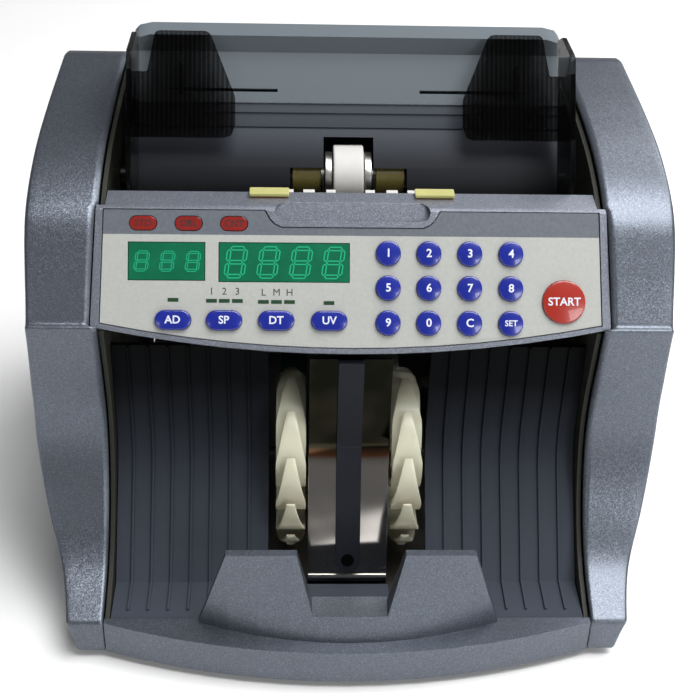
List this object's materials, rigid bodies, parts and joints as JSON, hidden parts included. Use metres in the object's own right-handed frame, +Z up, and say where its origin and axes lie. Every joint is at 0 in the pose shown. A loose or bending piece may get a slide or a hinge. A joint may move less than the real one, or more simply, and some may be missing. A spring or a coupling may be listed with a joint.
{
  "type": "banknote counting machine",
  "caption": "Desktop note counter: sloping hopper with sliding guides, key and display panel, and a stacker pocket with finger wheels.",
  "frame": {"origin": "on the table, under the middle of the machine's bounding box", "axes": "+X to the machine's right as its user sees it, +Y to its back, +Z up"},
  "size_m": [0.2636, 0.24, 0.2168],
  "materials": {
    "paint": "dark blue-grey metallic paint",
    "dark_paint": "dark grey, satin",
    "bed": "blue-grey metallic paint",
    "smoked": "smoked, glossy",
    "steel": "plain",
    "mirror_steel": "polished",
    "cream": "satin",
    "white": "matt",
    "yellow_rubber": "translucent, matt",
    "amber": "satin",
    "black_plastic": "matt",
    "black_rubber": "matt",
    "board": "satin",
    "overlay": "printed film",
    "green_window": "tinted window",
    "red": "glossy",
    "blue": "glossy"
  },
  "bodies": {
    "casing": {"side_cover_left": "paint", "side_cover_right": "paint", "side_plate_left": "steel", "side_plate_right": "steel", "base_pan": "steel", "foot_front_left": "black_rubber", "foot_front_right": "black_rubber", "foot_rear_left": "black_rubber", "foot_rear_right": "black_rubber", "front_molding": "paint", "pocket_wall": "dark_paint", "stripper_plate": "mirror_steel", "sensor_arm": "dark_paint", "motor": "steel", "drive_belt": "black_rubber", "power_supply": "steel", "main_board": "board", "hopper_tray": "bed", "rear_cover": "paint", "power_inlet": "black_plastic", "panel_housing": "paint", "panel_overlay": "overlay", "window_batch": "green_window", "window_count": "green_window", "lamp_strip": "red", "panel_board": "board", "retard_pad_left": "yellow_rubber", "retard_pad_right": "yellow_rubber", "throat_comb": "white"},
    "feed_rotor": {"feed_drum": "black_rubber"},
    "stacker_rotor": {"stacker_shaft": "steel", "stacker_pulley": "black_plastic", "stacker_wheel_left": "cream", "stacker_wheel_right": "cream"},
    "pickup_rotor": {"pickup_shaft": "steel", "pickup_roller": "white", "side_roller_left": "amber", "side_roller_right": "amber"},
    "motor_rotor": {"motor_pulley": "steel"},
    "guide_left": {"note_guide_left": "smoked"},
    "guide_right": {"note_guide_right": "smoked"},
    "rocker": {"power_rocker": "red"},
    "key_1": {"key_1": "blue"},
    "key_2": {"key_2": "blue"},
    "key_3": {"key_3": "blue"},
    "key_4": {"key_4": "blue"},
    "key_5": {"key_5": "blue"},
    "key_6": {"key_6": "blue"},
    "key_7": {"key_7": "blue"},
    "key_8": {"key_8": "blue"},
    "key_9": {"key_9": "blue"},
    "key_0": {"key_0": "blue"},
    "key_clear": {"key_clear": "blue"},
    "key_set": {"key_set": "blue"},
    "key_start": {"key_start": "red"},
    "key_add": {"key_add": "blue"},
    "key_speed": {"key_speed": "blue"},
    "key_detect": {"key_detect": "blue"},
    "key_lamp": {"key_lamp": "blue"}
  },
  "joints": [
    {"name": "feed_spin", "type": "hinge", "parent": "casing", "child": "feed_rotor", "pos_m": [0, 0.004, 0.118], "axis": [1, 0, 0], "continuous": true},
    {"name": "stacker_spin", "type": "hinge", "parent": "casing", "child": "stacker_rotor", "pos_m": [0, -0.034, 0.0533], "axis": [1, 0, 0], "continuous": true},
    {"name": "pickup_spin", "type": "hinge", "parent": "casing", "child": "pickup_rotor", "pos_m": [0, 0.0375, 0.1538], "axis": [1, 0, 0], "continuous": true},
    {"name": "motor_spin", "type": "hinge", "parent": "casing", "child": "motor_rotor", "pos_m": [0, 0.074, 0.042], "axis": [1, 0, 0], "continuous": true},
    {"name": "guide_left_slide", "type": "slide", "parent": "casing", "child": "guide_left", "axis": [1, 0, 0], "range_m": [0, 0.038]},
    {"name": "guide_right_slide", "type": "slide", "parent": "casing", "child": "guide_right", "axis": [-1, 0, 0], "range_m": [0, 0.038]},
    {"name": "rocker_tilt", "type": "hinge", "parent": "casing", "child": "rocker", "pos_m": [0, 0.113, 0.032], "axis": [1, 0, 0], "range_deg": [0, 15]},
    {"name": "key_1_press", "type": "slide", "parent": "casing", "child": "key_1", "axis": [0, 0.809, -0.5878], "range_m": [0, 0.001], "stiffness_N_per_m": 300, "springref_m": -0.001},
    {"name": "key_2_press", "type": "slide", "parent": "casing", "child": "key_2", "axis": [0, 0.809, -0.5878], "range_m": [0, 0.001], "stiffness_N_per_m": 300, "springref_m": -0.001},
    {"name": "key_3_press", "type": "slide", "parent": "casing", "child": "key_3", "axis": [0, 0.809, -0.5878], "range_m": [0, 0.001], "stiffness_N_per_m": 300, "springref_m": -0.001},
    {"name": "key_4_press", "type": "slide", "parent": "casing", "child": "key_4", "axis": [0, 0.809, -0.5878], "range_m": [0, 0.001], "stiffness_N_per_m": 300, "springref_m": -0.001},
    {"name": "key_5_press", "type": "slide", "parent": "casing", "child": "key_5", "axis": [0, 0.809, -0.5878], "range_m": [0, 0.001], "stiffness_N_per_m": 300, "springref_m": -0.001},
    {"name": "key_6_press", "type": "slide", "parent": "casing", "child": "key_6", "axis": [0, 0.809, -0.5878], "range_m": [0, 0.001], "stiffness_N_per_m": 300, "springref_m": -0.001},
    {"name": "key_7_press", "type": "slide", "parent": "casing", "child": "key_7", "axis": [0, 0.809, -0.5878], "range_m": [0, 0.001], "stiffness_N_per_m": 300, "springref_m": -0.001},
    {"name": "key_8_press", "type": "slide", "parent": "casing", "child": "key_8", "axis": [0, 0.809, -0.5878], "range_m": [0, 0.001], "stiffness_N_per_m": 300, "springref_m": -0.001},
    {"name": "key_9_press", "type": "slide", "parent": "casing", "child": "key_9", "axis": [0, 0.809, -0.5878], "range_m": [0, 0.001], "stiffness_N_per_m": 300, "springref_m": -0.001},
    {"name": "key_0_press", "type": "slide", "parent": "casing", "child": "key_0", "axis": [0, 0.809, -0.5878], "range_m": [0, 0.001], "stiffness_N_per_m": 300, "springref_m": -0.001},
    {"name": "key_clear_press", "type": "slide", "parent": "casing", "child": "key_clear", "axis": [0, 0.809, -0.5878], "range_m": [0, 0.001], "stiffness_N_per_m": 300, "springref_m": -0.001},
    {"name": "key_set_press", "type": "slide", "parent": "casing", "child": "key_set", "axis": [0, 0.809, -0.5878], "range_m": [0, 0.001], "stiffness_N_per_m": 300, "springref_m": -0.001},
    {"name": "key_start_press", "type": "slide", "parent": "casing", "child": "key_start", "axis": [0, 0.809, -0.5878], "range_m": [0, 0.001], "stiffness_N_per_m": 300, "springref_m": -0.001},
    {"name": "key_add_press", "type": "slide", "parent": "casing", "child": "key_add", "axis": [0, 0.809, -0.5878], "range_m": [0, 0.001], "stiffness_N_per_m": 300, "springref_m": -0.001},
    {"name": "key_speed_press", "type": "slide", "parent": "casing", "child": "key_speed", "axis": [0, 0.809, -0.5878], "range_m": [0, 0.001], "stiffness_N_per_m": 300, "springref_m": -0.001},
    {"name": "key_detect_press", "type": "slide", "parent": "casing", "child": "key_detect", "axis": [0, 0.809, -0.5878], "range_m": [0, 0.001], "stiffness_N_per_m": 300, "springref_m": -0.001},
    {"name": "key_lamp_press", "type": "slide", "parent": "casing", "child": "key_lamp", "axis": [0, 0.809, -0.5878], "range_m": [0, 0.001], "stiffness_N_per_m": 300, "springref_m": -0.001}
  ],
  "couplings": [
    {"joint": "stacker_spin", "follows": "feed_spin", "ratio": 0.78571},
    {"joint": "pickup_spin", "follows": "feed_spin", "ratio": 1},
    {"joint": "motor_spin", "follows": "feed_spin", "ratio": 1.375}
  ]
}
